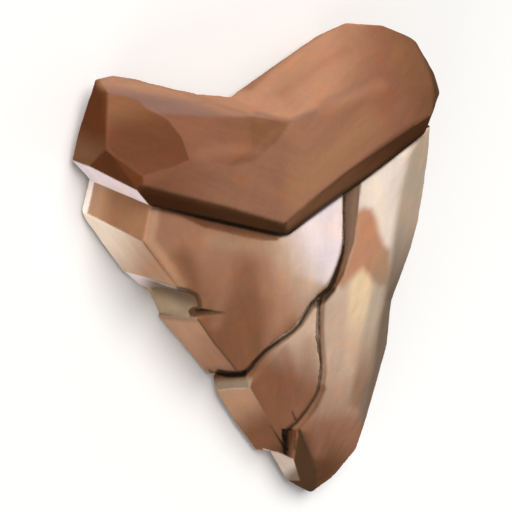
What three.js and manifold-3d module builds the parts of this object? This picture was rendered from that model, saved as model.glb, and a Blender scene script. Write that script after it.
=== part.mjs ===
// A fossil megalodon tooth, lying on its flat back with its bulging front up.
// Millimetres. +Z is up, +Y runs to the root, -Y to the tip, and the blade leans towards +X.
// The corners below are measured from the fork, the low point of the root's V-shaped front edge,
// and from the surface that the tooth lies on.

import * as THREE from "three";
import { ConvexGeometry } from "three/addons/geometries/ConvexGeometry.js";
import { mergeVertices } from "three/addons/utils/BufferGeometryUtils.js";
import Module from "manifold-3d";

const wasm = await Module();
wasm.setup();

// Driving heights above the surface that the tooth lies on.
const BACK = 0; // the flat back
const RIM = 1.5; // the outer edge of the back, all round
const ROOT_FRONT = 32; // the front face of the root, at its lower edge
const ROOT_LIP = 29; // where the bevel under that edge meets the blade
const BLADE_TOP = 27; // the front face of the blade, under the root
const BLADE_FORK = 26; // the same face where the main crack forks
const BLADE_LOW = 21; // the same face at the deep notch, half way down
const TIP = 6.5; // the point of the blade

// The corners where the blocks of the tooth meet.
const fork = [0, 0, ROOT_FRONT];
const forkLip = [3, -4.5, ROOT_LIP];
const saddle = [0, 30, 6]; // the low point between the lobes, at the back
const ridgeMiddle = [6.5, 26, 25]; // the same valley, where it reaches the front
const crackFork = [16.5, -28, BLADE_FORK];

// The lobe on the low side of the tooth, towards -X.
const shortLobe = [
  fork,
  forkLip,
  saddle,
  ridgeMiddle,
  // the upper edge, from its outer end to the saddle
  [-44, 42, 8],
  [-39, 42.5, 8],
  [-44.5, 41.5, 11.5],
  [-45, 39.5, 16],
  [-38.5, 38, 18.5],
  [-36, 35.5, 21.5],
  [-32.5, 33, 24],
  [-19.5, 31, 25],
  [-17, 34, 6.5],
  // the broad facets of the front
  [-50.5, 28, 24.5],
  [-31.5, 29.5, 27],
  [-30.5, 23.5, ROOT_FRONT],
  [-19.5, 21, ROOT_FRONT + 1],
  [-19, 8, ROOT_FRONT + 1],
  [-44.5, 21.5, 31],
  // the bevel, and the pale underside at the outer end
  [-45, 19, ROOT_FRONT],
  [-46, 18, 31.5],
  [-40, 12, ROOT_LIP - 0.5],
  [-48.5, 19.5, 2.5],
  [-47.5, 26.5, 4],
  [-43, 13, RIM],
  // the back
  [-38, 35, BACK],
  [-43, 21, BACK],
  [-38, 12, BACK],
  [-15, 28, BACK],
  [2, 24, BACK],
  [4, -4, BACK],
];

// The lobe on the other side, longer and rounder.
const longLobe = [
  fork,
  forkLip,
  saddle,
  ridgeMiddle,
  // the upper edge, from the saddle round the outer end
  [18, 38, 6.5],
  [29.5, 43.5, 8],
  [37, 46.5, 10],
  [47, 45, 13],
  [56, 40.5, 15],
  [58, 39, 16],
  [60, 34, 18],
  [61.5, 30, 20],
  [62, 25, 22],
  // the shoulder between the top and the front
  [40, 40.5, 20],
  [53.5, 41.5, 19],
  [53.5, 36, 24],
  [43.5, 36, 25],
  [38.5, 31.5, 27.5],
  [32.5, 29, 28],
  [20.5, 28, 26.5],
  [53.5, 29.5, 28],
  // the lower front edge and the bevel under it
  [53.5, 22, ROOT_LIP],
  [41, 20, ROOT_FRONT - 1],
  [30, 16, ROOT_FRONT],
  [11.5, 7, ROOT_FRONT + 0.5],
  [54, 14.5, 25],
  [39.5, 9.5, 27],
  [29, 5.5, 28],
  [14, 0.5, ROOT_LIP],
  // the back
  [34, 41, BACK],
  [47, 36, BACK],
  [52, 22, BACK],
  [48, 13, BACK],
  [2, 24, BACK],
  [4, -4, BACK],
];

// The upper block of the blade, from the low cutting edge to the main crack.
const upperBlock = [
  crackFork,
  [23.5, -13, BLADE_TOP + 0.5],
  [23.5, 3.5, BLADE_TOP],
  [24, 11.5, BLADE_TOP],
  [-38.5, 15.5, 25.5],
  [-39, 11.5, BLADE_TOP - 0.5],
  [-42, 2.5, BLADE_TOP],
  [-31.5, -13, BLADE_FORK],
  [-25, -23, 25],
  [-8.5, -44.5, BLADE_LOW + 0.5],
  [-7, -45.5, BLADE_LOW + 0.5],
  // low ridges across the front
  [-31, -3, BLADE_TOP + 0.5],
  [-11, -10.5, BLADE_TOP + 1],
  [2.5, -7, BLADE_TOP + 1],
  // the cutting edge
  [-43, 13, 4.5],
  [-45, 3.5, 4.5],
  [-43, 13, RIM],
  [-45.5, 4.5, RIM],
  [-44.5, 2, RIM],
  [-32.5, -16.5, RIM],
  [-21.5, -31.5, RIM],
  [-5.5, -53, RIM],
  // the back
  [-40, 11, BACK],
  [-42, 3, BACK],
  [-8, -48, BACK],
  [20, 18, BACK],
  [20, -40, BACK],
];

// The small block below the deep notch, between the two lower cracks.
const lowBlock = [
  crackFork,
  [17.5, -40, 24],
  [20.5, -50.5, 22],
  [21, -58, 20.5],
  [15.5, -66, 18.5],
  [11, -69, 17.5],
  [11.2, -74.8, 16.5],
  [15.3, -78.3, 13.3],
  [14.8, -80.5, 10],
  [-4, -51, BLADE_LOW - 0.5],
  [-4.5, -47.5, BLADE_LOW - 1],
  // the edges of the cracks, inside the upper block
  [-3.5, -43.5, 19],
  [3, -36.5, 21],
  [12, -29.5, 23.5],
  // a soft fold down the side, and the cutting edge
  [6, -66, 15],
  [-4, -54, 4],
  [-3.5, -58.5, 4],
  [-3.5, -54.5, RIM],
  [-2.5, -59.5, 2.5],
  [4.5, -72, 2.5],
  [11, -81.5, 2.5],
  // the back
  [-0.5, -50.5, BACK],
  [11, -77, BACK],
  [30, -50, BACK],
  [25, -30, BACK],
];

// The far side of the blade, from under the root to the dent in the straighter edge.
const farBlock = [
  crackFork,
  [23.5, -13, BLADE_TOP + 0.5],
  [23.5, 3.5, BLADE_TOP],
  [24, 11.5, BLADE_TOP],
  [17.5, -40, 24],
  [48.5, 9.5, 25.5],
  [45.5, -2, 25],
  [45, -9.5, 24.5],
  [44.5, -26.5, 22.5],
  [44, -35, 21],
  // the straighter edge
  [60.5, 15, 20],
  [62, 7, 18],
  [62, -7, 16],
  [61.5, -15, 15],
  [60, -23.5, 14],
  [53.5, -40, 13],
  // the back
  [52, 16, RIM],
  [55, -3, BACK],
  [52, -20, BACK],
  [45, -38, BACK],
  [15, -38, BACK],
  [-20, 12, BACK],
  [-20, -15, BACK],
];

// The far side of the blade below the dent, down to the point.
const tipBlock = [
  crackFork,
  [17.5, -40, 24],
  [20.5, -50.5, 22],
  [21, -58, 20.5],
  [44, -35, 21],
  [43.5, -42.5, 20],
  [44, -60, 16.5],
  [14, -69.5, 17.3],
  [15, -74, 16.5],
  [16, -81.5, 14.5],
  [21, -91, 11],
  [29, -99.5, TIP],
  // the straighter edge
  [53.5, -40, 13],
  [52.5, -54.5, 12.5],
  [49, -65, 12],
  [46.5, -77.5, 11],
  [43.5, -87.5, 10],
  [36.5, -95, 8.5],
  // the short side below the last notch
  [28, -99, 4.5],
  [22, -94.5, 3.5],
  [15.5, -83, 3.5],
  // the back
  [45, -38, BACK],
  [42, -62, BACK],
  [38, -84, 1.5],
  [29, -93, 3],
  [15, -38, BACK],
  [20, -78, 1],
];

// What lies above the valley between the lobes: its back profile, its front profile, then open air.
const valley = [
  [-30, 39.3, 8],
  [-17, 34.4, 6.5],
  [-11, 32.2, 6.5],
  [0, 30, 6],
  [9.5, 33.2, 6],
  [18, 38.5, 6.5],
  [-17, 39, -2],
  [0, 34, -2],
  [18, 43, -2],
  [-5.5, 29.2, 24],
  [1.5, 26.8, 24.6],
  [6.5, 26, 25],
  [9.5, 27.2, 24.5],
  [14, 33.3, 16],
  [-17, 60, -2],
  [18, 60, -2],
  [-5.5, 50, 40],
  [9.5, 50, 40],
];

// What lies above the shallow hollow in the middle of the root's front.
const dimple = [
  [-5.5, 29, 24.2],
  [1.5, 26.6, 24.8],
  [6.5, 26, 25],
  [1, 23.8, 27.6],
  [-3.5, 22, 29.6],
  [-10.5, 20.2, 31.6],
  [-2.5, 24, 26],
  [-5, 40, 40],
  [6, 36, 40],
  [-8, 30, 45],
];

// The chip out of the cutting edge above the first ledge: its three inner faces, then the open side.
const chip = [
  [-33.5, -15.8, -2],
  [-23.5, -25, -2],
  [-20.8, -31.5, -2],
  [-27, -15, BLADE_FORK + 1],
  [-24.7, -16.5, BLADE_FORK + 1],
  [-24, -20, BLADE_FORK + 1],
  [-25, -23.3, BLADE_FORK + 1],
  [-60, 0, -2],
  [-60, -31.5, -2],
  [-60, -10, 60],
  [-60, -24, 60],
];

// The hollow at the inner end of that chip, which runs out in a point.
const hollow = [
  [-27, -20, 28],
  [-27, -23.8, 28],
  [-26, -22.3, 20.5],
  [-22.5, -20.3, 28],
  [-22.5, -23.8, 28],
  [-22, -22.2, 22.5],
  [-15.5, -23.6, 27],
];

// The open groove between the lower end of the small block and the tip.
const groove = [
  [10.8, -68.8, 18],
  [11.2, -74.8, 17],
  [14.3, -70.5, 15.3],
  [15, -75, 14.3],
  [15.8, -79.5, 13],
  [14.7, -70, 19],
  [15.1, -74, 19],
  [15.8, -79.5, 19],
];

// The cracks. Each stop is the x and y of the near lip, the height of the face there, the depth of
// the crack, and its width.
const mainCrack = [
  [23.8, 8, 27.3, 4, 4.6],
  [23.7, 1.5, 27.3, 4, 4.4],
  [23.5, -3, 27.3, 3.8, 4],
  [23.4, -9, 27.4, 3.5, 3.4],
  [23.4, -14, 27.4, 3.2, 2.8],
  [22.6, -17.5, 26.9, 3, 2.3],
  [21, -21, 26.6, 3, 2.1],
  [19.3, -24, 26.3, 3, 2],
  [16, -25.8, 26.2, 3, 2],
  [13.5, -27.6, 26, 3, 1.8],
  [12, -29.6, 25.6, 2.8, 1.8],
  [10.3, -32, 25, 2.8, 1.6],
  [8, -34.5, 24.5, 2.8, 1.5],
  [3.2, -36.8, 23.8, 2.8, 1.5],
  [-0.8, -39.5, 23, 3, 1.6],
  [-4, -42.5, 22.2, 3.4, 1.9],
  [-9, -47, 21.5, 4.5, 2.4],
];
const farCrack = [
  [16, -27.5, 26, 3, 1.6],
  [16, -29.5, 25.7, 2.6, 1.4],
  [16.4, -34.2, 24.9, 2.4, 1.3],
  [16.9, -39.3, 24.1, 2.4, 1.3],
  [18.5, -44, 23.2, 2.4, 1.2],
  [20, -49.5, 22.2, 2.4, 1.1],
  [20.4, -55.6, 21, 2.4, 1.2],
  [19.7, -59.8, 20, 2.6, 1.9],
  [16.9, -63.9, 19, 2.8, 2.9],
  [11.2, -68.8, 17.8, 3, 4.2],
];
const hairCrack = [
  [11.5, -62, 20.2, 0.8, 0.3],
  [13.6, -66, 19.2, 1.2, 0.8],
];
const tipCrease = [
  [15.8, -70.8, 17.3, 0.5, 0.5],
  [18.7, -76, 15.4, 0.9, 1.9],
  [21.6, -81.3, 13.9, 0.9, 1.8],
  [27.3, -88.3, 11.5, 0.4, 0.3],
];

// A closed mesh as a solid that can be joined and cut.
function solid(geometry) {
  geometry.deleteAttribute("normal");
  geometry.deleteAttribute("uv");
  const merged = mergeVertices(geometry, 1e-4);
  return new wasm.Manifold(
    new wasm.Mesh({
      numProp: 3,
      vertProperties: merged.attributes.position.array,
      triVerts: merged.index.array,
    }),
  );
}

// The convex block that has these corners.
function block(corners) {
  const points = corners.map((corner) => new THREE.Vector3(...corner));
  return solid(new ConvexGeometry(points));
}

// A trench with a V-shaped section, steep on its near side: one convex wedge from stop to stop.
function trench(stops) {
  const above = 1.5; // the height of the whole section, as a multiple of the depth of the crack
  const sections = stops.map(([x, y, height, depth, width], i) => {
    const [x0, y0] = stops[Math.max(i - 1, 0)];
    const [x1, y1] = stops[Math.min(i + 1, stops.length - 1)];
    const along = new THREE.Vector2(x1 - x0, y1 - y0).normalize();
    const across = (offset, z) => [x - along.y * offset, y + along.x * offset, z];
    const lean = Math.min(0.3, width / 2); // how far the bottom lies from the near lip
    const top = height + depth * (above - 1);
    return [
      across(lean, height - depth),
      across(lean - lean * above, top),
      across(lean + (width - lean) * above, top),
    ];
  });
  return sections
    .slice(1)
    .map((section, i) => block([...sections[i], ...section]))
    .reduce((all, wedge) => all.add(wedge));
}

// A joined and cut solid as a geometry with flat facets.
function geometryOf(body) {
  const mesh = body.getMesh();
  const positions = new THREE.BufferAttribute(mesh.vertProperties, mesh.numProp);
  const geometry = new THREE.BufferGeometry()
    .setAttribute("position", positions)
    .setIndex(new THREE.BufferAttribute(mesh.triVerts, 1))
    .toNonIndexed();
  geometry.computeVertexNormals();
  return geometry;
}

const join = (bodies) => bodies.reduce((all, next) => all.add(next));
const cutAway = (body, tools) => tools.reduce((left, tool) => left.subtract(tool), body);

const root = cutAway(join([shortLobe, longLobe].map(block)), [valley, dimple].map(block));
const blade = cutAway(join([upperBlock, lowBlock, farBlock, tipBlock].map(block)), [
  ...[chip, hollow, groove].map(block),
  ...[mainCrack, farCrack, hairCrack, tipCrease].map(trench),
]);

// The finished tooth stands with the middle of its footprint at the origin.
const geometry = geometryOf(root.add(blade));
geometry.computeBoundingBox();
const middle = geometry.boundingBox.getCenter(new THREE.Vector3());

const fossil = new THREE.MeshStandardMaterial({ color: 0xb08a68, roughness: 0.62, metalness: 0 });
const tooth = new THREE.Mesh(geometry, fossil);
tooth.name = "tooth";
tooth.position.set(-middle.x, -middle.y, 0);

const part = new THREE.Group();
part.add(tooth);
export default part;
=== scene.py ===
# %% [markdown]
# # A fossil megalodon tooth
# The real thing is a shark's tooth as big as a hand, turned to stone. It has two parts that grew
# as one: a thick, rough, V-shaped root, and a broad blade of enamel that tapers to a point.
# This one lies on its flat back with the bulging front up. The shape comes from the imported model,
# and this script gives it its softened edges, its colours and its light.

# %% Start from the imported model
import math

import bmesh
import bpy
import numpy as np
from mathutils import Matrix, Vector, noise


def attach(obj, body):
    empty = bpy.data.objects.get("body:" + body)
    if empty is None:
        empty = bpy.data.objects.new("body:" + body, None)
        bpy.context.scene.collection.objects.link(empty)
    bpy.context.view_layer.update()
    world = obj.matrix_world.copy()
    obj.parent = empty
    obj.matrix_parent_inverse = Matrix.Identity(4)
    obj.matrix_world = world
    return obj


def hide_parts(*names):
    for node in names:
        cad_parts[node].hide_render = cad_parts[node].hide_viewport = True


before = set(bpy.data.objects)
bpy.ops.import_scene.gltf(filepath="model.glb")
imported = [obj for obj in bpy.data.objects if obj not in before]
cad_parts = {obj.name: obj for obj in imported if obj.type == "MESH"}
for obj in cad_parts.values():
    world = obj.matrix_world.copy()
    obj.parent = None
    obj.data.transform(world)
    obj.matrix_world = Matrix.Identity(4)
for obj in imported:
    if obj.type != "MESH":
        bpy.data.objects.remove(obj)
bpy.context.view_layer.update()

MM = 0.001    # one millimetre in metres

# %% [markdown]
# The camera comes first, because everything after it is judged through it. It hangs over the
# tooth's left side and looks down across it, with the root at the top of the view. A long lens
# held far away keeps the shape undistorted, which is how museums show their specimens.

# %% Camera
SWING, LIFT = math.radians(35.5), math.radians(20)
towards_camera = Vector((
    -math.sin(SWING) * math.cos(LIFT),
    math.sin(LIFT),
    math.cos(SWING) * math.cos(LIFT),
))
camera_right = Vector((math.cos(SWING), 0, math.sin(SWING)))
camera_up = towards_camera.cross(camera_right)
AIM = Vector((-13.95, 18.69, 29.64)) * MM
DISTANCE = 516.8 * MM

lens = bpy.data.cameras.new("camera")
lens.lens = 135
lens.sensor_width = 36
lens.clip_start = 0.05
lens.clip_end = 50
camera = bpy.data.objects.new("camera", lens)
camera.rotation_mode = "QUATERNION"
axes = np.array([camera_right, camera_up, towards_camera]).T
camera.rotation_quaternion = Matrix(axes.tolist()).to_quaternion()
camera.location = AIM + towards_camera * DISTANCE
bpy.context.scene.collection.objects.link(camera)
bpy.context.scene.camera = camera
print("camera at", [round(v, 3) for v in camera.location])

# %% [markdown]
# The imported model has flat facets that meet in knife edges. A real fossil has been rolled in sand
# for ages, so every edge is a little round, but the facets and the cracks are still there. A voxel
# remesh could round it, and would also fill the cracks with lumps. So a copy of the model is cut
# into small triangles that keep its edges: long edges are halved, the diagonals inside a flat
# facet are turned to the better way, and slivers are closed up, again and again.

# %% Cut the facets into fine triangles
WELD = 0.03 * MM      # corners closer than this are one corner
FINE = 0.82 * MM      # the longest edge on the side that is looked at
COARSE = 1.9 * MM     # the same on the far walls
PLAIN = 3.0 * MM      # and on the flat back
SLIVER = 0.12 * MM    # edges shorter than this are closed up
BACK = 0.05 * MM      # lower than this is the flat back
SIDEWAYS = -0.05      # a face that looks further away from the camera is a far wall
FLAT = 0.99998        # how alike two faces of one flat facet point

body = bmesh.new()
body.from_mesh(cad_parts["tooth"].data)
bmesh.ops.remove_doubles(body, verts=body.verts, dist=WELD)
bmesh.ops.dissolve_degenerate(body, edges=body.edges, dist=WELD)


def grain(edge):
    """The longest that this edge may be."""
    if all(vert.co.z < BACK for vert in edge.verts):
        return PLAIN
    faced = max(face.normal.dot(towards_camera) for face in edge.link_faces)
    return FINE if faced > SIDEWAYS else COARSE


def lies_flat(edge):
    """Whether the edge is only a diagonal inside a flat facet."""
    faces = edge.link_faces
    return len(faces) == 2 and faces[0].normal.dot(faces[1].normal) > FLAT


for _ in range(8):    # enough times for the longest facet
    long_edges = [edge for edge in body.edges if edge.calc_length() > grain(edge)]
    bmesh.ops.subdivide_edges(body, edges=long_edges, cuts=1)
    bmesh.ops.triangulate(body, faces=[face for face in body.faces if len(face.verts) > 3])
    flat_edges = [edge for edge in body.edges if lies_flat(edge)]
    bmesh.ops.beautify_fill(body, faces=body.faces, edges=flat_edges, method="ANGLE")
    bmesh.ops.dissolve_degenerate(body, edges=body.edges, dist=SLIVER)

# %% [markdown]
# Closing a sliver can tear the surface beside it. Every torn edge is cut out together with the
# faces around it, and the hole is filled again, until the body is closed.

# %% Mend what the closing of slivers tore
for _ in range(4):
    torn = [edge for edge in body.edges if not edge.is_manifold]
    if not torn:
        break
    around = {face for edge in torn for vert in edge.verts for face in vert.link_faces}
    bmesh.ops.delete(body, geom=list(around), context="FACES")
    rims = [edge for edge in body.edges if edge.is_boundary]
    patches = bmesh.ops.holes_fill(body, edges=rims)["faces"]
    bmesh.ops.triangulate(body, faces=patches)
bmesh.ops.recalc_face_normals(body, faces=body.faces)
print(len(body.faces), "triangles, closed:", all(edge.is_manifold for edge in body.edges))

# %% [markdown]
# Places on the tooth are given the way a painter would point at them: in millimetres across and
# up, as seen from the camera's side. A path is a list of such places. The distance from every
# point of the mesh to a path is what both the sculpting and the painting are made of.

# %% Places as seen from the front
ACROSS, UPWARD, TOWARDS = (np.array(axis) for axis in (camera_right, camera_up, towards_camera))


def on_view(points):
    """Millimetres across and up for points in metres."""
    return np.stack([points @ ACROSS, points @ UPWARD], axis=1) / MM


def to_path(places, path):
    """The distance from each place to the nearest piece of a path."""
    best = np.full(len(places), np.inf)
    for start, end in zip(path[:-1], path[1:]):
        start, run = np.array(start), np.subtract(end, start)
        along = np.clip((places - start) @ run / (run @ run), 0, 1)
        gap = np.linalg.norm(places - start - along[:, None] * run, axis=1)
        best = np.minimum(best, gap)
    return best


# %% [markdown]
# Next the edges are worn round. Sanding a carving makes every vertex move towards its neighbours'
# middle, and that is what one pass of Blender's smooth operator does. Two passes go over the
# whole tooth. The broad right lobe and a few folds get many more, because years of rolling have
# left hardly any edge there.

# %% Wear the edges
def relax(verts, passes):
    """Move points halfway to the middle of their neighbours, again and again."""
    for _ in range(passes):
        bmesh.ops.smooth_vert(
            body, verts=verts, factor=0.5, use_axis_x=True, use_axis_y=True, use_axis_z=True
        )


def rub(path, reach, passes):
    """Sand the front along a path: fully in the middle of the reach, half as much at its rim."""
    for part in (1.0, 0.6):
        near = to_path(places, path) < reach * part
        relax([vert for vert, chosen in zip(body.verts, near & in_front) if chosen], passes)


relax(body.verts, 2)
body.normal_update()
places = on_view(np.array([vert.co for vert in body.verts]))
in_front = np.array([vert.normal for vert in body.verts]) @ TOWARDS > 0
rub([(13.5, 62), (15.5, 53.5), (17, 45)], 5, 20)                # the valley's far side
rub([(15, 41), (14.8, 35), (14.5, 24), (14.5, 17)], 3.5, 22)    # down to the root's lowest point
rub([(38, 62), (36.5, 52), (35, 42)], 5, 16)                    # across the right lobe
rub([(48, 60), (46.5, 50), (45, 44)], 4, 12)
rub([(6, 41), (5.1, 34.5), (10, 35.5), (15, 42)], 2.5, 10)      # the hollow beside the middle
bmesh.ops.triangulate(body, faces=[face for face in body.faces if len(face.verts) > 3])
print("worn", int(in_front.sum()), "points of the front along five paths")

# %% [markdown]
# Weather then eats small hollows into the stone. Noise could push the surface in and out, but
# stone only ever loses material, so every point moves inwards. The flat back stays flat, because
# the tooth lies on it.

# %% Weather the surface
PITTED = 0.16               # how deep the hollows are, in mm
WIDE, NARROW = 7, 2.6       # how broad the two sizes of hollow are, in mm
body.normal_update()
for vert in body.verts:
    place = vert.co / MM
    waves = noise.noise(place / WIDE) + 0.5 * noise.noise(place / NARROW)
    depth = PITTED if place.z > 0.1 else 0
    vert.co -= vert.normal * (depth * abs(waves) * MM)

# %% Hand the worn tooth to the model
tooth_mesh = bpy.data.meshes.new("tooth_worn")
body.to_mesh(tooth_mesh)
body.free()
tooth_mesh.shade_smooth()
tooth = bpy.data.objects.new("tooth_worn", tooth_mesh)
bpy.context.scene.collection.objects.link(tooth)
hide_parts("tooth")
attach(tooth, "root")
print(len(tooth_mesh.polygons), "triangles,", len(tooth_mesh.vertices), "points")

# %% [markdown]
# A fossil takes its colours from the mud it lay in. Iron stains the porous root rust and
# brown, and the smooth enamel keeps ivory, tan and peach. Cracks and the undersides of ledges get
# painted shade. No noise texture knows where a ledge is, so the stains and the shade are painted
# one by one, as a colour on every point of the mesh.
#
# First the palette. Every earth colour lies on a ladder from chalk to brick: with each step of
# warmth it loses a little green and more blue. So a pot needs no more than how light it is and
# how warm, in coarse steps. A third number makes it rosier or, below zero, greener.

# %% Palette
POTS = {    # how light in percent, how warm, how rosy
    "ivory": (95, 1, 0), "pearl": (90, 1, 1), "linen": (80, 2, 0), "butter": (90, 3, -1),
    "peach": (80, 5, 1), "sand": (75, 4, 0), "stone": (65, 3, -1), "taupe": (50, 3, 0),
    "fawn": (65, 5, 1), "tan": (60, 5, 1), "ochre": (55, 6, 0), "hazel": (50, 6, 1),
    "walnut": (50, 6, 1), "cocoa": (45, 6, 1), "bark": (35, 5, 0), "umber": (30, 7, 1),
    "soot": (20, 5, 0), "ink": (10, 6, 0), "oxblood": (35, 8, 2), "garnet": (40, 7, 2),
    "rust": (50, 6, 2), "rosewood": (65, 5, 1), "mauve": (50, 4, 2),
}
GREEN_LOSS = 0.05    # of green, for each step of warmth
BLUE_LOSS = 0.09     # of blue
ROSY_SHIFT = 0.02    # from green to blue, for each rosy step
print(len(POTS), "pots of paint")


def to_light(level):
    """Screen level to linear light, by the usual sRGB curve."""
    return np.where(level < 0.04045, level / 12.92, ((level + 0.055) / 1.055) ** 2.4)


def pot(name):
    """A pot's colour in linear light; "tan/cocoa" is an equal mix of two pots."""
    mixed = []
    for part in name.split("/"):
        light, warm, rosy = POTS[part]
        green = 1 - GREEN_LOSS * warm - ROSY_SHIFT * rosy
        blue = 1 - BLUE_LOSS * warm + ROSY_SHIFT * rosy
        mixed.append(to_light(light / 100 * np.array([1, green, blue])))
    return np.mean(mixed, axis=0)


# %% [markdown]
# Three tools are enough. A facet is an area with straight sides, in one colour or in one that
# runs into a second. A stroke is a soft airbrush line. A line is thin and sharp.

# %% Brushes
OVERLAP = 0.2    # neighbours overlap by this many mm, so that no base coat shows between them


def ease(low, high, value):
    """0 below low, 1 above high, and a soft rise between them; low may be the larger one."""
    t = np.clip((value - low) / (high - low), 0, 1)
    return t * t * (3 - 2 * t)


def inside(corners):
    """How deep each place lies in an area: negative outside."""
    depth = to_path(places, corners + corners[:1])
    odd = np.zeros(len(places), bool)    # whether a ray to the right crosses an odd number of sides
    across, up = places.T
    for (ax, ay), (bx, by) in zip(corners, corners[1:] + corners[:1]):
        if ay != by:
            crossing = (bx - ax) * (up - ay) / (by - ay) + ax
            odd ^= ((ay > up) != (by > up)) & (across < crossing)
    return np.where(odd, depth, -depth)


def lay(mask, colours):
    """Lay colours over the paint where the mask is 1."""
    global paint
    paint = paint + (mask * open_to_paint)[:, None] * (colours - paint)


def facet(corners, name, to=None, soft=0.6, amount=1.0):
    """Fill an area with one pot, or let it run: to holds where from, where to and the other pot."""
    colours = pot(name)
    if to:
        start, end, other = to
        run = np.subtract(end, start)
        along = ease(0, 1, (places - start) @ run / (run @ run))
        colours = colours + along[:, None] * (pot(other) - colours)
    over = min(soft / 2, OVERLAP)
    lay(ease(-soft / 2 - over, soft / 2 - over, inside(corners)) * amount, colours)


def stroke(path, reach, name, amount=1.0, firm=0.0):
    """Airbrush along a path: full in the middle of the reach, nothing at its rim."""
    gap = to_path(places, path)
    lay((1 - ease(reach * firm, reach, gap)) * amount, pot(name))


def line(path):
    """How far each place lies outside a thin line, given as (across, up, width) in mm."""
    best = np.full(len(places), np.inf)
    for (ax, ay, aw), (bx, by, bw) in zip(path[:-1], path[1:]):
        run = np.array([bx - ax, by - ay])
        along = np.clip((places - [ax, ay]) @ run / (run @ run), 0, 1)
        gap = np.linalg.norm(places - [ax, ay] - along[:, None] * run, axis=1)
        best = np.minimum(best, gap - (aw + along * (bw - aw)) / 2)
    return best


# %% [markdown]
# The base coat goes on every side, also the ones the camera never sees: a pale blade that is
# browner towards the point, painted shade on the walls that face right, and darker colours low down, darkest
# where the tooth touches the ground.
# On top of it comes the detailed painting of the front, which fades out where the surface turns
# away.

# %% Base coat
count = len(tooth_mesh.vertices)


def read(field):
    """A row of three numbers for every point of the mesh."""
    values = np.empty(count * 3)
    tooth_mesh.vertices.foreach_get(field, values)
    return values.reshape(-1, 3)


points, normals = read("co"), read("normal")
places = on_view(points)
x, y, z = (points / MM).T


def stains(size, seed):
    """Soft patches of the given size in mm, from 0 to 1."""
    shift = Vector((seed, 2 * seed, 3 * seed))
    return np.array([0.5 + 0.7 * noise.noise(Vector(p) / size + shift) for p in points / MM])


def start_coat(name):
    """Cover the whole tooth with one pot, every side of it open to more paint."""
    global paint, open_to_paint
    paint = np.ones((count, 3)) * pot(name)
    open_to_paint = np.ones(count)


def darken_low_down():
    """Darker colours low on the sides, darkest where they touch the ground."""
    lay(ease(7, 1, z) * (0.25 + 0.5 * small), pot("taupe/bark"))
    lay(ease(0.3, 0.05, z) * 0.35, pot("bark/umber"))


broad, small = stains(17, 3), stains(6, 8)
start_coat("linen/butter")
lay(ease(0.35, 0.85, broad) * 0.7, pot("peach/sand"))
lay(ease(0.5, 0.95, small) * 0.45, pot("ivory"))
lay(ease(5, -60, y) * 0.75, pot("fawn/tan"))            # browner towards the point
lay(ease(-45, -70, y) * 0.7, pot("walnut/tan"))
# painted shade: faces that turn right, away from the main lamp, are made duller and darker
lay(ease(0.2, 0.9, normals[:, 0]) * 0.6, pot("taupe/stone"))     # the long right wall
lay(ease(0.45, 0.9, stains(9, 5)) * 0.4, pot("hazel/taupe"))
darken_low_down()
seen = ease(-0.12, 0.12, normals @ TOWARDS)
open_to_paint = seen
print("the front is", round(float(seen.mean()) * 100), "% of the points")

# %% [markdown]
# The cracks divide the blade: the wall on the left, the broad front between it and the main
# crack, the right piece, and two blocks near the point. A texture laid over them would run
# across the cracks, so each gets areas of its own. The wall is the chipped cutting edge: chalky
# where fresh stone shows, with a painted highlight as if lit from below left, brown at its top,
# and brown in its notch, which is painted shade.

# %% Paint the left wall of the blade
# painted highlight: the pale strips of the left wall stand in for light from below left
facet([(-44, 28), (-36.8, 26.8), (-37.4, 24), (-39, 17.6), (-42.5, 17)], "ivory", soft=0.4)
facet([(-36.8, 27.6), (-37.4, 24), (-39, 17.6), (-23.3, 9.9), (-21.3, 19.6), (-21, 21), (-29, 24.6)],
      "tan/sand", to=((-37, 20), (-31, 19), "ochre/tan"), soft=0.4)
facet([(-44, 18), (-39, 17.6), (-23.3, 9.9), (-15, -1.7), (-22, 0.2), (-29, 1.8), (-33, 2)],
      "ivory/butter", to=((-37, 12), (-21, 3), "tan/sand"), soft=0.4)
facet([(-24, 0.4), (-29, 1.2), (-33, 1.6), (-28, -3), (-22, -6), (-21, -12), (-8, -12), (-7.6, -7),
       (-9, -3)], "stone", to=((-22, -4), (-13, -8), "taupe"), soft=0.3)
# painted highlight: the pale lip over the notch
facet([(-30.5, 2), (-29, 1.8), (-22, 0.2), (-17.5, -1.2), (-12.4, -2.5), (-13.5, -3), (-17, -2.6),
       (-20, -2), (-23, -2.4), (-26, -1.5)], "pearl", to=((-28, 1), (-21, -1), "taupe"), soft=0.3)
# painted shade: brown under the pale lip, lighter lower down
facet([(-23, -2.4), (-20, -2), (-17, -2.5), (-13.5, -3), (-11.5, -3.2), (-9.9, -4), (-9.2, -5.5),
       (-9.1, -7.2), (-11.5, -7.6), (-12.4, -10.2), (-15, -10.4), (-20.8, -9.8), (-22, -6)],
      "bark/taupe", to=((-15.5, -3.5), (-17, -8), "stone"), soft=0.4)
facet([(-22.6, -9), (-20.8, -9.8), (-15, -10.4), (-9.9, -10.4), (-5.5, -17.5), (-2, -22),
       (0.6, -25.8), (-8, -26.8), (-14, -20)], "sand/fawn", to=((-13, -14), (-4, -18), "tan/fawn"), soft=0.4)
stroke([(-21, -10.4), (-10, -10.8)], 1.4, "taupe", 0.6)
stroke([(-7, -26), (0, -25.4)], 2.4, "walnut/taupe", 0.6)
print("the left wall is painted")
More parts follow.
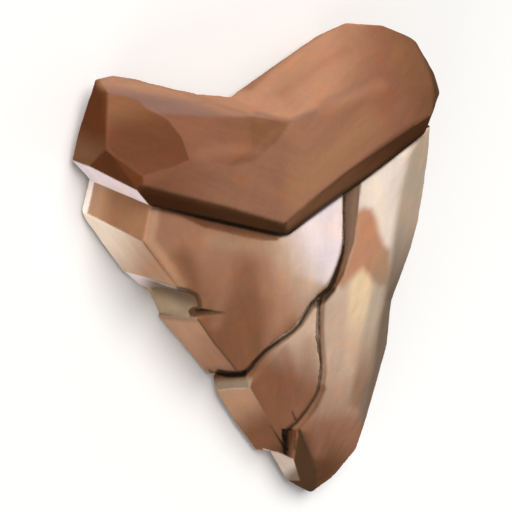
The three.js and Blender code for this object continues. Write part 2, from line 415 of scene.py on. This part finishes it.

# %% [markdown]
# The broad front is polished enamel. It is tan, almost white in the corner beside the main crack,
# and darker in a band towards the point. The root hangs over its upper edge, and a strip there
# is painted browner as the root's shadow.

# %% Paint the broad front of the blade
front = [(-21, 21.5), (-21.3, 19.4), (-23.3, 9.9), (-15, -1.7), (-13.8, -2), (-11.2, -3.1),
         (-9.9, -3.9), (-9.3, -5), (-9.1, -7.3), (-9.9, -10.4), (-5.5, -17.5), (-2, -22),
         (0.6, -25.8), (2.6, -25.6), (7.5, -19.4), (10.6, -17.4), (15.7, -14), (19.4, -9),
         (22, -5.2), (26.2, -2.4), (28.8, 3.4), (30, 7.6), (30.4, 10.5), (30.4, 26), (20, 19),
         (14.6, 14.6), (8, 15.6), (0, 17), (-10, 19)]
facet(front, "tan", to=((-4, 8), (2, -16), "walnut/cocoa"), soft=0.3)
stroke([(-17, 13), (-9, 11.6)], 6, "rosewood/rust", 0.5)
facet([(5, 8), (14, 14), (32, 26), (32, 4), (20, -8), (9, -18), (8, -8)],
      "fawn", to=((9, -5), (22, 3), "linen/sand"), soft=7)
# painted shadow: the strip in the shade of the root, with its own crisp rim
facet([(-22, 21), (-20.6, 18.9), (-14, 17.2), (-8, 14.3), (0, 12.5), (4, 11.5), (8, 10.9), (11.4, 10.9),
       (13.2, 12), (13.6, 15), (0, 18)], "hazel", to=((-18, 18), (-8, 15), "garnet/cocoa"), soft=0.5)
# the bright corner between the root's lowest point and the main crack
facet([(12.6, 11.6), (14.2, 9.6), (15, 5), (16.4, 1.6), (21, 0), (26, -1.4), (28.8, 3.4), (30.2, 7.6),
       (30.6, 26), (20, 19), (14, 14)], "linen/sand", to=((14, 4), (25, 9), "pearl"), soft=3)
stroke([(-6, 11), (2, 9.4), (10, 8.6)], 4, "fawn/stone", 0.6)
# painted highlight: a light strip beside the ridge of the left wall
stroke([(-20.4, 18), (-21.6, 10.4), (-16.6, 3.4), (-13.6, -0.8)], 2.2, "sand", 0.5, 0.1)
stroke([(-23.2, 10.1), (-19.4, 4.6), (-15.2, -1.4)], 0.55, "hazel/walnut", 0.6)
stroke([(-13, 6), (-11.6, 1.6), (-10, -2)], 5.4, "walnut/cocoa", 0.85)
stroke([(-7, 4), (-7.6, -2)], 3, "tan/ochre", 0.5)
stroke([(4, 2), (5, -8), (2.6, -20)], 9, "walnut/rust", 0.6)
stroke([(2, -6), (2.4, -20)], 5, "walnut/cocoa", 0.4)
stroke([(-2, 6), (-3, -4), (-5, -12)], 3, "tan/fawn", 0.4)
stroke([(8, 6), (8.6, -3)], 3, "fawn/rosewood", 0.5)
# painted shade: the dark hollow of the notch
facet([(-12.4, -8.4), (-11.4, -7.5), (-9.4, -7.1), (-8.4, -8.1), (-3.4, -8.7), (-7.6, -9.4), (-10.4, -9.7),
       (-12, -9.5)], "bark", soft=0.5)
# painted shadow: the dark band along the notch's upper corner
stroke([(-14.8, -2.2), (-12, -2.8), (-10.2, -3.8), (-9.4, -5.4), (-9.2, -7)], 1.0, "umber", 0.85, 0.2)
print("the front is painted")

# %% [markdown]
# The right piece runs from the root down to the point. It is the palest part of the blade, with
# one peach stain, long faint bands along its growth, and a rim that turns away into painted
# shade. The main crack has broken its left edge, and the broken wall is brown.

# %% Paint the right piece
facet([(29.5, 24), (30.6, 10.5), (30.1, 7.5), (28.9, 3.3), (27.4, -0.6), (26.2, -2.6), (23.8, -6),
       (23.5, -13.5), (23.9, -20.2), (24.6, -26.8), (23.4, -33), (21, -37), (17.6, -41.6),
       (15, -44.2), (18.3, -44.6), (21, -48.5), (30, -64), (60, -20), (60, 48), (53, 43)],
      "ivory/linen", to=((38, 12), (36, -10), "linen/sand"), soft=0.3)
facet([(20, -10), (50, -10), (50, -60), (10, -66), (14, -44), (24.4, -28)],
      "linen/sand", to=((33, -16), (26, -56), "rust/fawn"), soft=9)
stroke([(39, 26), (43, 13)], 5, "butter/ivory", 0.7)
# long bands from the middle of the piece down to the point
facet([(33.2, 0), (33, -4), (32.4, -9), (31.6, -15), (31.8, -22), (33, -28), (36, -28), (37.2, -18),
       (38.6, -10), (39.6, -3), (38.6, 2), (36.4, 5)],
      "butter", to=((36, -4), (34, -22), "sand/linen"), soft=2.6)
facet([(40.6, 0), (39.4, -4), (38.7, -10), (37.4, -17), (36, -23), (35, -29), (34, -38), (38, -40),
       (41, -28), (41.6, -20), (42.8, -12), (44.2, -5), (44.4, 0)],
      "stone/linen", to=((41, -10), (36, -34), "taupe/fawn"), soft=3)
# the peach patch, with a pale peak pushed up into its foot
facet([(33.6, 18.6), (36, 20), (38.2, 19.6), (39.8, 17), (40.8, 13), (42.2, 10), (44.4, 8), (44.7, 2),
       (44, -1.6), (41.6, -2), (39.8, -0.6), (38, 1.6), (36.4, 3.2), (34.6, 1.8), (32.6, 0),
       (30.4, -2.4), (29, -1), (30.4, 1), (31.8, 6), (33, 10)],
      "peach/rosewood", to=((38, 8), (43, 3), "stone/fawn"), soft=3)
# painted shade: the right-hand rim turns away from the light
facet([(51, 42), (48.4, 30.6), (47, 23.8), (46.1, 17), (45.1, 8.8), (44.4, 1.3), (43.4, -6), (42, -12.6),
       (41, -20), (40.2, -28), (38.4, -34), (36.8, -42), (34.4, -50), (40, -50), (60, -10), (60, 48),
       (54, 42)], "linen/stone", to=((48, 24), (44, -6), "taupe"), soft=3.4)
# the broken wall of the main crack
facet([(29.8, 25), (30.6, 10.5), (30.1, 7.5), (28.9, 3.3), (27.4, -0.6), (26.2, -2.6), (23.8, -5),
       (24.6, -6.8), (28.2, -2.8), (30.4, 1), (31.8, 6), (33.2, 10.3), (34.2, 18.5), (35.1, 28)],
      "taupe/cocoa", to=((32, 14), (28, -1), "cocoa"), soft=0.6)
print("the right piece is painted")

# %% [markdown]
# Two cracks cut a narrow block out of the middle. It is a little redder than its neighbours,
# palest at its upper end. A soft brown painted shade follows both cracks.

# %% Paint the piece between the cracks
facet([(2.1, -26.8), (3.5, -25), (5.6, -21.9), (7.9, -19.5), (10.6, -17.6), (13.3, -15.7),
       (15.9, -14), (17.7, -12), (19.5, -9.2), (21, -6.8), (23.6, -7), (23.5, -13.5), (23.9, -20.2),
       (24.4, -26.8), (23.4, -33), (21.2, -37), (17.6, -41.6), (14.6, -44.8), (15, -50.8),
       (9.9, -41.5), (4, -30.7)], "hazel/rust", to=((10, -27), (19, -14), "sand/linen"), soft=0.3)
stroke([(21, -18), (21.4, -30), (18, -38)], 4.4, "rust/tan", 0.45)
stroke([(6, -27), (11, -38), (15, -46)], 4, "walnut", 0.6)
stroke([(14, -20), (17, -32)], 2.6, "rust", 0.4)

# painted shade: the brown shadow beside both cracks
stroke([(30.3, 9.6), (29.3, 4.6), (27.8, 0.8), (25.8, -2), (23.4, -4.4)], 1.2, "hazel", 0.6, 0.1)
stroke([(27.4, -3), (25, -5.8), (22.6, -7)], 1.5, "soot", 0.85, 0.25)
stroke([(21.6, -7.6), (20, -10), (18.2, -12.8), (14.4, -16.2), (9.6, -19.4), (6.6, -22.6), (4.4, -26)],
       1.4, "bark", 0.8, 0.25)
stroke([(24.6, -6), (24.4, -13.5), (24.9, -20), (25.6, -27), (25, -32.4)], 1.3, "cocoa", 0.7, 0.2)
stroke([(25, -32), (23, -37), (20, -41), (17, -44.4)], 2.0, "cocoa", 0.85, 0.25)
stroke([(5.2, -33.6), (7, -36.4), (9.4, -41)], 1.0, "bark", 0.35)
print("the block between the cracks is painted")

# %% [markdown]
# Below the wall a second block stands on its own ledge, and a chip beside it has left a hollow,
# painted dark as shade. The point itself is worn down to a deep brown, with one pale flake on its left side.

# %% Paint the lower block and the point
facet([(-7.6, -26), (-3, -27.6), (0, -27.4), (2.5, -26.8), (4.2, -25.6), (5.4, -26), (4, -30.7),
       (-1.2, -31.4), (-4.8, -32.3), (-7.6, -30)],
      "cocoa", to=((0, -27.4), (0.4, -29.6), "taupe/stone"), soft=0.3)
# painted shade: the black gap above the second block
stroke([(-4.6, -26.6), (-2, -26.8), (2.2, -26.4)], 1.5, "ink", 0.95, 0.4)
facet([(-7.6, -30), (-4.8, -32.3), (-1.2, -31.4), (3, -30.9), (4, -30.7), (5.8, -34), (9.9, -41.5),
       (14.8, -50.5), (14, -52), (5, -52), (-3, -44)],
      "sand/rosewood", to=((1, -34), (9, -43), "hazel"), soft=0.3)
facet([(14, -42.6), (19, -43.4), (24, -42), (32, -42), (44, -46), (24, -70), (12, -64), (12, -50)],
      "fawn/rust", to=((30, -43), (22, -56), "cocoa/umber"), soft=9)
stroke([(25, -44), (24.6, -52)], 4, "rust/rosewood", 0.6)
facet([(14, -44), (18.6, -44.4), (20, -48.5), (21.8, -53), (24, -58), (24, -70), (12, -64)],
      "umber/bark", soft=1.0)
facet([(8, -50.6), (13.5, -52.4), (16.8, -53.6), (17.2, -55), (18.8, -60.8), (14.6, -61.6)],
      "linen", to=((14.5, -57), (17.6, -59.4), "taupe"), soft=0.3)
# painted shade: the dark hollow left by the chip
facet([(13.4, -43.6), (18.5, -44.4), (17.6, -48), (17.2, -53.4), (14.2, -52), (13.6, -47)],
      "ink", to=((14.4, -46), (17, -46), "walnut"), soft=0.3)
print("the lower block and the point are painted")

# %% [markdown]
# The root is painted the same way, on a second coat of its own. The two coats meet at the corner
# where the root rises from the blade, and the material switches between them exactly there, which
# keeps that edge sharper than the mesh.

# %% Base coat of the root
blade_paint = paint
# the corner's y for a row of x, both in mm, from the left end of the root to its right end
CORNER_X = [-56, -49.1, -48.7, -45.8, -2.8, 8.3, 23.3, 33.8, 48.3]
CORNER_Y = [30, 38, 39.5, 38.5, 22, 27, 32, 36, 41]
root_gap = y - np.interp(x, CORNER_X, CORNER_Y)
start_coat("rust/walnut")
lay(ease(0.4, 0.9, broad) * 0.7, pot("tan/rosewood"))
lay(ease(0.5, 0.95, small) * 0.5, pot("cocoa"))
# painted shade: faces that look down under the ledge are darkened
lay(ease(0.1, 0.8, -normals[:, 1]) * 0.7, pot("bark/umber"))    # under the ledge
# painted shade: faces that turn right, away from the main lamp, are darkened
lay(ease(0.3, 0.9, normals[:, 0]) * 0.5, pot("bark/rust"))
darken_low_down()
open_to_paint = seen
print("the root is", round(float((root_gap > 0).mean()) * 100), "% of the points")

# %% [markdown]
# The root was porous bone, so it took up more iron than the blade did. The upper strips of both
# lobes are painted rosy and light, a painted highlight, the middle is tan and ochre, and the broken end on
# the left is a deep red brown. A bevel runs along the root's lower edge and is painted darkest, as painted
# shade.

# %% Paint the lobes of the root
# the right lobe: rosy on top, a painted highlight, browner towards its end, tan and ochre down its front
facet([(2, 52), (16, 66), (30, 76), (46, 76), (60, 66), (60, 40), (50, 36), (15, 10),
       (4, 16), (-2, 30), (12, 38), (15, 42.6)], "rust/tan", to=((18, 30), (50, 56), "rust"), soft=1.5)
facet([(4, 51), (16, 64), (30, 75), (42, 74), (43, 63), (38, 53.5), (33, 50), (22, 46.8), (15, 43)],
      "rosewood", to=((22, 60), (44, 58), "rust"), soft=2)
facet([(40, 76), (43, 63), (47, 52), (50, 44), (62, 48), (62, 70)],
      "walnut", to=((43, 58), (52, 60), "cocoa"), soft=5, amount=0.9)
stroke([(12, 36), (20, 42), (28, 46)], 5, "rust/tan", 0.5)
stroke([(17, 24), (26, 33), (37, 43)], 7, "ochre/tan", 0.6)
stroke([(24, 47.6), (30, 50.5), (36, 54)], 2.6, "mauve/rust", 0.5)
# painted highlight: a light line along the fold of the right lobe
stroke([(23, 46.2), (31, 49), (40, 54)], 3, "fawn", 0.3)
stroke([(26, 67), (15, 57), (8, 51)], 4, "rosewood", 0.5)
stroke([(31, 64), (21, 57), (13, 51)], 2.4, "rust", 0.25)

# the left lobe, from its top strip with a painted highlight down to the bevel
facet([(-35.8, 52), (-29, 54), (0, 52), (5, 52), (15, 42.6), (13, 41), (-16.8, 40),
       (-22, 43), (-27, 46.5), (-32.2, 48)], "rosewood", to=((-10, 51), (-12, 44), "mauve"), soft=2.0)
facet([(-19.5, 43), (-12, 43), (-6, 42.8), (5, 43.5), (15, 42.8), (11, 37), (8, 34.5), (5.5, 32),
       (-2, 29.5), (-11.4, 31.3), (-13.5, 37), (-16.8, 41.3)],
      "rust", to=((-4, 38), (8, 38), "walnut/cocoa"), soft=1.4)
stroke([(-8, 33), (0, 34.5), (6, 34)], 3, "rust/tan", 0.6)
facet([(-11.4, 31.3), (-15, 29.6), (-23, 27), (-23.2, 24.4), (0, 18.8), (4, 17.5), (5, 24),
       (2, 29), (-2, 30)], "garnet/rust", to=((-20, 26), (4, 24), "rust/tan"), soft=1.0)
facet([(-32.2, 48), (-27.5, 47.3), (-24.5, 46.3), (-22, 44), (-19.8, 43), (-16.8, 41.3),
       (-13.5, 37), (-11.4, 31.3), (-15, 29.6), (-23, 27), (-27.5, 30.5), (-32, 33.5)],
      "walnut", to=((-27, 47), (-24, 38), "garnet"), soft=0.5)
facet([(-36.2, 52.6), (-34.4, 51.6), (-32.2, 48), (-32, 33.5), (-37.2, 30), (-43, 32)],
      "oxblood", to=((-35, 40), (-39, 32), "cocoa"), soft=0.4)
facet([(-32, 33.5), (-27.5, 30.3), (-23, 27), (-23, 24.4), (-24.3, 23.4), (-37.2, 30)],
      "oxblood", soft=0.4)
# painted highlight: the underside of the root's left end is painted pale, as if lit from below left
facet([(-45, 31.8), (-42, 31.4), (-37.2, 29.5), (-24.4, 23), (-21.3, 19.2), (-22, 16), (-40, 23)],
      "pearl", soft=0.3)

print("the lobes are painted")

# %% Paint the bevel under the root
# painted shade: the bevel faces down, so it is painted near black at the left and dark brown at the right
facet([(-24.3, 23.5), (-23, 24.5), (-14, 22.2), (0, 18.8), (13.7, 15), (14.4, 10), (8, 9),
       (0, 12), (-10, 14), (-20, 17), (-21.3, 19.3)],
      "oxblood/ink", to=((-18, 20), (2, 16), "umber"), soft=0.3)
facet([(13.7, 15), (20, 20.7), (24, 24), (30, 28.8), (40, 35.8), (50, 42.7), (56, 46.5),
       (57, 40), (50, 34), (40, 26), (30, 20), (20, 13), (14.4, 9)],
      "cocoa", to=((24, 22), (48, 39), "umber"), soft=0.3)
# painted shadow: a dark line where the root's lip meets the blade
stroke([(-20, 19.3), (-10, 17), (0, 14.6), (10, 12.3), (14.3, 12.5), (20, 16.7), (30, 24), (39.6, 30.4),
        (50, 38.5), (53.6, 41.2)], 1.3, "soot/ink", 0.75)

print("the bevel is painted")

# %% Paint the folds of the root
# painted shade: mauve in the valley between the lobes
stroke([(6, 45), (15, 42.8), (22, 45.3)], 1.5, "mauve", 0.6)
# painted highlight: the light strip along the top of the left lobe
stroke([(-33, 51.6), (-22, 50.6), (-10, 50)], 3.6, "rosewood", 0.75)
stroke([(13.7, 15.2), (0, 19), (-14, 22.4), (-23, 24.6)], 0.7, "bark", 0.6)
stroke([(14, 15.6), (22, 22.6), (30, 29), (40, 36), (50, 43)], 0.7, "umber", 0.45)
stroke([(13.8, 15.4), (14.1, 13)], 0.5, "ink", 0.6)
stroke([(-32.2, 48), (-32, 33.5), (-23, 27)], 0.6, "rust", 0.4)
facet([(51, 68), (53, 65), (55.5, 58), (56.5, 52), (55.5, 47), (62, 47), (62, 68), (52, 70)],
      "umber/bark", soft=1.2, amount=0.85)
print("the root is painted")

# %% [markdown]
# The cracks are real grooves in the mesh, but a groove this thin would look grey and blurred if
# light alone had to draw it. So each crack and the root's lip get a line of painted shade, creases
# and hollows a brown line of painted shade, and a few edges a line of painted highlight, each with
# a width of its own. Only the distance to the line is kept here, and the
# material draws it, which makes it sharper than the mesh could.

# %% Draw the cracks and the sharp edges
main_crack = line([(30.4, 23.2, 0.5), (30.5, 10.5, 0.6), (30.2, 7.5, 1), (28.9, 3.1, 1.5),
                   (27.6, -0.7, 1.6), (26.4, -2.7, 1.5), (24.2, -4.4, 1.3), (22.3, -5.9, 1),
                   (21.2, -7.2, 0.8), (19.9, -9.6, 0.7), (18.2, -12.6, 0.6), (16.4, -14.6, 0.6),
                   (13.8, -16.3, 0.7), (11.1, -18.2, 0.8), (8.4, -20.1, 0.9), (6.1, -22.5, 1.1),
                   (3.9, -25.4, 1.3), (2.1, -26.8, 1.5), (-0.7, -27.3, 1.7), (-3, -27.4, 1.6),
                   (-5.6, -27.2, 0.9)])
far_crack = line([(24.4, -5, 0.9), (23.8, -7.4, 0.6), (23.8, -13.5, 0.6), (24.2, -20.2, 0.4),
                  (24.8, -26.8, 0.4), (24.5, -30, 0.4), (23.8, -33, 0.5), (22.4, -35.6, 0.6),
                  (21.5, -37, 0.7), (20.1, -39, 0.8), (17.8, -41.8, 0.9), (14.7, -44.6, 0.9)])
# painted shadow where the root's lip overhangs the blade
under_root = line([(-19, 19, 0.1), (-14, 18, 0.5), (-8, 16.6, 0.9), (0, 14.9, 1.1), (10, 12.7, 1.1),
                   (12.6, 12.2, 1), (14.5, 12.3, 0.4), (20, 16.4, 0.4), (30, 23.7, 0.4),
                   (40, 30.5, 0.4), (50, 38.5, 0.4), (53.5, 41.1, 0.4)])
block_edge = line([(10, -42.3, 0), (12.4, -46.4, 0.5), (14.8, -50.5, 1.2)])
tip_groove = line([(17.3, -44.5, 0.3), (17.2, -50.3, 0.3)])
hairline = line([(16.3, -38.4, 0.2), (17.4, -41.2, 0.4)])
tip_crease = line([(18.4, -44.5, 0.8), (20, -48.5, 0.6), (21.8, -53, 0.5), (24, -57, 0.3)])
notch_corner = line([(-15.2, -2, 0.4), (-13.8, -2.2, 0.7), (-11.2, -3.3, 0.9), (-9.9, -4.1, 0.9),
                     (-9.3, -5.2, 0.7), (-9.1, -7.3, 0.5)])
notch_hollow = line([(-12, -8.3, 0.5), (-10, -8.3, 1), (-6, -8.7, 0.7), (-2.6, -8.9, 0.3)])
wall_lip = line([(-9.8, -10.5, 0.3), (-5.5, -17.5, 0.3), (-2, -22, 0.5), (0.4, -25.5, 0.6)])
# painted highlights: light lines along three edges
painted_highlight_edges = np.minimum.reduce([
    line([(17, 13.8, 0.3), (20, 16.3, 0.3), (29.6, 23.3, 0.3)]),
    line([(-29, 1.7, 0.6), (-22, 0, 0.5), (-17.5, -1.5, 0.3), (-12.6, -2.7, 0.1)]),
    line([(-4.8, -32.3, 0.1), (-1.2, -31.4, 0.1), (3, -30.9, 0.1)]),
])
painted_shade_lines = np.minimum.reduce([
    main_crack, far_crack, under_root, block_edge, tip_groove, hairline,
])
crease_shade_lines = np.minimum.reduce([tip_crease, notch_corner, notch_hollow, wall_lip])

# %% [markdown]
# Worn edges are paler, because what rubs a stone rubs its edges first, and the paler edges also
# serve as a painted highlight; the corners between facets get painted shade. Both are found by
# measuring how far each point stands out from the middle of its neighbours.

# %% Pale edges and dirty corners
ends = np.empty(len(tooth_mesh.edges) * 2, dtype=np.int64)
tooth_mesh.edges.foreach_get("vertices", ends)
first, second = ends.reshape(-1, 2).T


def average(values):
    """Each point's value mixed with its neighbours' values."""
    total, number = values.copy(), np.ones(count)
    for here, there in ((first, second), (second, first)):
        np.add.at(total, here, values[there])
        np.add.at(number, here, 1)
    return total / (number[:, None] if values.ndim == 2 else number)


proud = ((points - average(points)) * normals).sum(1) / MM
for _ in range(3):
    proud = average(proud)
edge_wear_and_highlight = ease(0.012, 0.06, proud)
corner_shade = ease(0.012, 0.07, -proud)
print("edges", round(float(edge_wear_and_highlight.mean()), 3), "corners", round(float(corner_shade.mean()), 3))

# %% [markdown]
# Streaks follow the growth of the tooth. On the blade they fan out from the point, and on the
# root they run along its two lobes. So each point also gets a place on a map of its own: how far
# across the streaks it lies and how far along them. The way along is shortened, which draws any
# noise out into streaks.

# %% The way the streaks run
FAN_X, FAN_Y = 13, -86       # the blade's streaks meet here, a little past the point
FAN_RADIUS = 70              # turns the angle across the fan into mm
ROOT_MIDDLE = 4              # x of the valley between the lobes
ALONG, OFF = 0.87, 0.5       # the lobes spread at about 30 degrees
APART = 100                  # keeps the root's part of the map clear of the blade's
LONG_BLADE, LONG_ROOT = 0.12, 0.14    # how much the way along is shortened
DEPTH = 0.7

off_tip = np.stack([x - FAN_X, y - FAN_Y], axis=1)
far_from_tip = np.linalg.norm(off_tip, axis=1)
fan = np.stack([np.arctan2(*off_tip.T) * FAN_RADIUS, far_from_tip * LONG_BLADE, z * DEPTH], axis=1)
side = np.abs(x - ROOT_MIDDLE)
across_lobe = ALONG * y - OFF * side + APART
along_lobe = (ALONG * side + OFF * y) * LONG_ROOT
lobes = np.stack([across_lobe, along_lobe, z * DEPTH], axis=1)
flow = np.where((root_gap > 0)[:, None], lobes, fan)
print("the streaks fan out over", round(float(np.ptp(far_from_tip))), "mm")

# %% Store the paint on the mesh
FIELDS = {"FLOAT": "value", "FLOAT_COLOR": "color", "FLOAT_VECTOR": "vector"}


def store(name, kind, values):
    """Save one value per point under a name that a material can read."""
    layer = tooth_mesh.attributes.new(name, kind, "POINT")
    field = FIELDS[kind]
    layer.data.foreach_set(field, np.ascontiguousarray(values, dtype=np.float32).ravel())


# painted shade reaches the far side of a crack too, but lines stay off the sides and the back of the tooth
unseen = 1 - seen
WIDEN, CLEAR = 1.2, 7      # lines grow by this much on a far side, or are moved this far away
low_down, right_side = ease(8, 5, z), ease(38, 44, x)
painted_shade_lines = painted_shade_lines + unseen * (CLEAR * np.maximum(low_down, right_side) - WIDEN)
crease_shade_lines = crease_shade_lines + unseen * 5
painted_highlight_edges = painted_highlight_edges + unseen * 5
for name, coat in (("blade_coat", blade_paint), ("root_coat", paint)):
    store(name, "FLOAT_COLOR", np.column_stack([coat, np.ones(count)]))
for name, gap in (("painted_shade_gap", painted_shade_lines), ("crease_shade_gap", crease_shade_lines), ("painted_highlight_gap", painted_highlight_edges)):
    store(name, "FLOAT", gap)
store("root_gap", "FLOAT", root_gap)
# relief holds paler worn edges with painted highlight, and painted shade in the corners
store("relief", "FLOAT", edge_wear_and_highlight - corner_shade)
store("flow", "FLOAT_VECTOR", flow)
print("stored", [layer.name for layer in tooth_mesh.attributes])

# %% [markdown]
# The material turns the stored paint into stone. Shader maths is easier to read as sums than as
# boxes and noodles, so a small class wraps a socket: adding or multiplying two wires adds the
# Math node that does it.

# %% Wires
class Wire:
    """A socket that Python can calculate with."""

    tree = None

    def __init__(self, socket):
        self.socket = socket

    @classmethod
    def node(cls, kind, settings=None, values=None, output=0):
        """Add a node: its settings first, then what its sockets hold or are linked to."""
        made = cls.tree.nodes.new(kind)
        for name, setting in (settings or {}).items():
            setattr(made, name, setting)
        for name, value in (values or {}).items():
            if isinstance(value, Wire):
                cls.tree.links.new(value.socket, made.inputs[name])
            else:
                made.inputs[name].default_value = value
        return cls(made.outputs[output])

    @staticmethod
    def maths(operation, first, second):
        return Wire.node("ShaderNodeMath", {"operation": operation}, {0: first, 1: second})

    def __add__(self, other):
        return Wire.maths("ADD", self, other)

    def __sub__(self, other):
        return Wire.maths("SUBTRACT", self, other)

    def __rsub__(self, other):
        return Wire.maths("SUBTRACT", other, self)

    def __mul__(self, other):
        return Wire.maths("MULTIPLY", self, other)

    __radd__ = __add__
    __rmul__ = __mul__


def attribute(name, output="Fac"):
    """One of the values stored on the mesh."""
    return Wire.node("ShaderNodeAttribute", {"attribute_name": name}, output=output)


def step(value, low, high):
    """0 below low, 1 above high, smooth between; low may be the larger one."""
    return Wire.node(
        "ShaderNodeMapRange", {"interpolation_type": "SMOOTHSTEP", "clamp": True},
        {"Value": value, "From Min": low, "From Max": high},
    )


def tint(amount, colour, other, blend="MIX"):
    """Mix two colours: none of the other at 0, all of it at 1."""
    return Wire.node(
        "ShaderNodeMix", {"data_type": "RGBA", "blend_type": blend},
        {0: amount, 6: colour, 7: other}, output=2,
    )


def brighten(colour, by):
    """A colour times a number."""
    return Wire.node("ShaderNodeVectorMath", {"operation": "SCALE"}, {0: colour, "Scale": by})


def speckle(size, where, detail=3.0, rough=0.55):
    """Noise whose blots are about the given size in mm."""
    return Wire.node(
        "ShaderNodeTexNoise", {"noise_dimensions": "3D"},
        {"Vector": where, "Scale": 1 / size, "Detail": detail, "Roughness": rough},
    ) - 0.5


# %% [markdown]
# Fossil enamel is mottled at two scales and streaked along its length, where it grew and where it
# split. The root is rougher, because it was bone. The crack lines are painted shade: thresholds of
# the stored distances, with a little noise so that they look broken and not drawn, and they stay
# sharper than the mesh.

# %% Fossil stone
stone = bpy.data.materials.new("fossil_stone")
stone.use_nodes = True
Wire.tree = stone.node_tree
shader = stone.node_tree.nodes["Principled BSDF"]

here_mm = brighten(Wire.node("ShaderNodeTexCoord", output="Object"), 1 / MM)
flow_map = attribute("flow", "Vector")
mottle = speckle(8, here_mm)
grit = speckle(0.9, here_mm, 4, 0.6)
streaks, hairs = speckle(4, flow_map, 3, 0.6), speckle(1.1, flow_map, 2, 0.5)
wobble = speckle(1.6, here_mm) * 0.3
root_gap = attribute("root_gap")
root = step(root_gap + wobble * 0.3, -0.1, 0.1)
relief = attribute("relief")

colour = tint(root, attribute("blade_coat", "Color"), attribute("root_coat", "Color"))
colour = tint(step(mottle, 0.0, 0.25), colour, (1.08, 0.97, 0.88, 1), "MULTIPLY")
colour = tint(step(streaks, 0.0, -0.25), colour, (0.98, 1.0, 1.02, 1), "MULTIPLY")
level = 1.0 + mottle * 0.10 + streaks * 0.30 + hairs * 0.10 + grit * 0.12
# paler worn edges with painted highlight, and painted shade in the corners
colour = brighten(colour, level + step(relief, 0, 1) * 0.16 - step(relief, 0, -1) * 0.22)

# painted highlight on the pale lines, painted shade on the brown and dark lines
for gap, name, soft, amount in (
    ("painted_highlight_gap", "pearl", 0.35, 0.55), ("crease_shade_gap", "bark", 0.5, 0.85),
    ("painted_shade_gap", "bark", 1.0, 0.4), ("painted_shade_gap", "ink", 0.4, 0.85),
):
    line_mask = step(attribute(gap) + wobble, soft, -soft) * amount
    colour = tint(line_mask, colour, (*pot(name), 1))
Wire.tree.links.new(colour.socket, shader.inputs["Base Color"])

dullness = 0.50 + root * 0.14 + grit * 0.2
Wire.tree.links.new(dullness.socket, shader.inputs["Roughness"])
shader.inputs["Specular IOR Level"].default_value = 0.0    # old stone has no gloss left

height = grit * (0.5 + root * 0.5) + streaks * 0.3
bump = Wire.node(
    "ShaderNodeBump", values={"Strength": 0.3, "Distance": 0.25 * MM, "Height": height}
)
Wire.tree.links.new(bump.socket, shader.inputs["Normal"])
tooth_mesh.materials.append(stone)
print(len(Wire.tree.nodes), "nodes in the stone")

# %% [markdown]
# The tooth lies on a plain pale sheet, and the sheet is so wide that no view finds its edge.

# %% Floor
bpy.ops.mesh.primitive_circle_add(vertices=96, radius=12, fill_type="NGON", location=(0, 0, 0))
floor = bpy.context.object
floor.name = "floor"
paper = bpy.data.materials.new("paper")
paper.use_nodes = True
paper.node_tree.nodes["Principled BSDF"].inputs["Base Color"].default_value = (0.9, 0.9, 0.9, 1)
paper.node_tree.nodes["Principled BSDF"].inputs["Roughness"].default_value = 0.9
paper.node_tree.nodes["Principled BSDF"].inputs["Specular IOR Level"].default_value = 0.0
floor.data.materials.append(paper)

print("a round floor, 24 m across")

# %% [markdown]
# Facets are read by their brightness, so the light is soft but has a direction. A broad warm
# lamp over the root is the main one, and a weak cool one fills in the chipped left wall. The sky
# does the rest: it is brightest low down, as it is above a pale floor.

# %% Light
world = bpy.data.worlds.new("studio")
world.use_nodes = True
nodes, links = world.node_tree.nodes, world.node_tree.links
place = nodes.new("ShaderNodeTexCoord")
split = nodes.new("ShaderNodeSeparateXYZ")
ramp = nodes.new("ShaderNodeValToRGB")
links.new(place.outputs["Generated"], split.inputs[0])
links.new(split.outputs["Z"], ramp.inputs["Fac"])
links.new(ramp.outputs["Color"], nodes["Background"].inputs["Color"])
ramp.color_ramp.elements[0].position = 0.0
ramp.color_ramp.elements[0].color = (0.9, 0.9, 0.9, 1)
ramp.color_ramp.elements[1].position = 0.4
ramp.color_ramp.elements[1].color = (0.22, 0.22, 0.22, 1)
nodes["Background"].inputs["Strength"].default_value = 1.0
bpy.context.scene.world = world
bpy.context.scene.view_settings.view_transform = "Standard"


def sunlight(name, direction, strength, colour, softness):
    """A far, broad lamp that shines from the given direction."""
    data = bpy.data.lights.new(name, "SUN")
    data.energy = strength
    data.color = colour
    data.angle = math.radians(softness)
    lamp = bpy.data.objects.new(name, data)
    lamp.rotation_mode = "QUATERNION"
    lamp.rotation_quaternion = Vector(direction).to_track_quat("Z", "Y")
    bpy.context.scene.collection.objects.link(lamp)


sunlight("key", (-0.15, 0.62, 0.77), 3.3, (1.0, 0.98, 0.95), 35)
sunlight("rim", (-0.8, -0.5, 0.25), 1.0, (0.96, 0.97, 1.0), 40)
